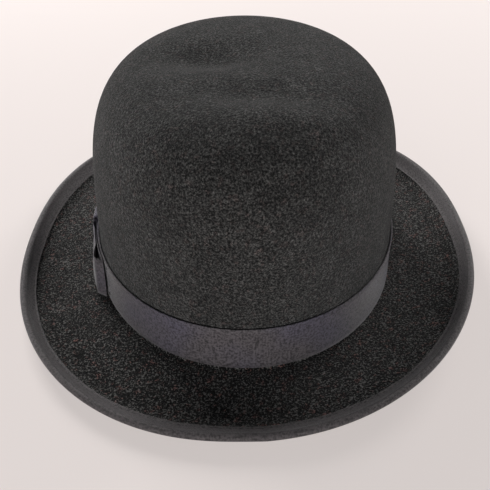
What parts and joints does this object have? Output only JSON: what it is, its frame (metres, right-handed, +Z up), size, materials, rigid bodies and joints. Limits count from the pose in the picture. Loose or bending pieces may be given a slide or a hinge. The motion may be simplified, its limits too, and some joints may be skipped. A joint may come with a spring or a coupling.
{
  "type": "bowler hat",
  "caption": "Black felt bowler hat with a round crown, a curled brim bound in ribbon, a ribbon band with a flat side bow, and a leather and satin fitting inside.",
  "frame": {"origin": "middle of the brim's outline, on the surface that the brim rests on", "axes": "+Z up through the crown; the front of the hat faces -Y; the wearer's left, where the bow sits, is +X"},
  "size_m": [0.2601, 0.3074, 0.1284],
  "materials": {
    "felt": "short-napped black fur felt with pale fibre flecks",
    "ribbon": "fine-ribbed grosgrain, soft sheen",
    "binding_ribbon": "fine-ribbed grosgrain folded over the edge",
    "black_thread": "black sewing thread",
    "tan_thread": "waxed tan thread",
    "leather": "smooth brown leather, satin",
    "reed": "pale smooth reed",
    "tape": "waxed black cloth tape",
    "bow_satin": "black satin",
    "lining_satin": "cream-grey satin",
    "piping": "brown satin piping",
    "paper": "plain uncoated paper"
  },
  "bodies": {
    "root": {"felt_hood": "felt", "hat_band": "ribbon", "band_tacks": "black_thread", "bow_loops": "ribbon", "bow_knot": "ribbon", "bow_tacks": "black_thread", "brim_binding": "binding_ribbon", "binding_stitches": "black_thread", "sweatband": "leather", "sweatband_reed": "reed", "reed_tape": "tape", "reed_stitches": "black_thread", "sweatband_stitches": "tan_thread", "sweatband_seam_stitches": "tan_thread", "sweatband_bow": "bow_satin", "lining_tip": "lining_satin", "lining_side": "lining_satin", "lining_piping": "piping", "size_ticket": "paper"}
  },
  "joints": []
}
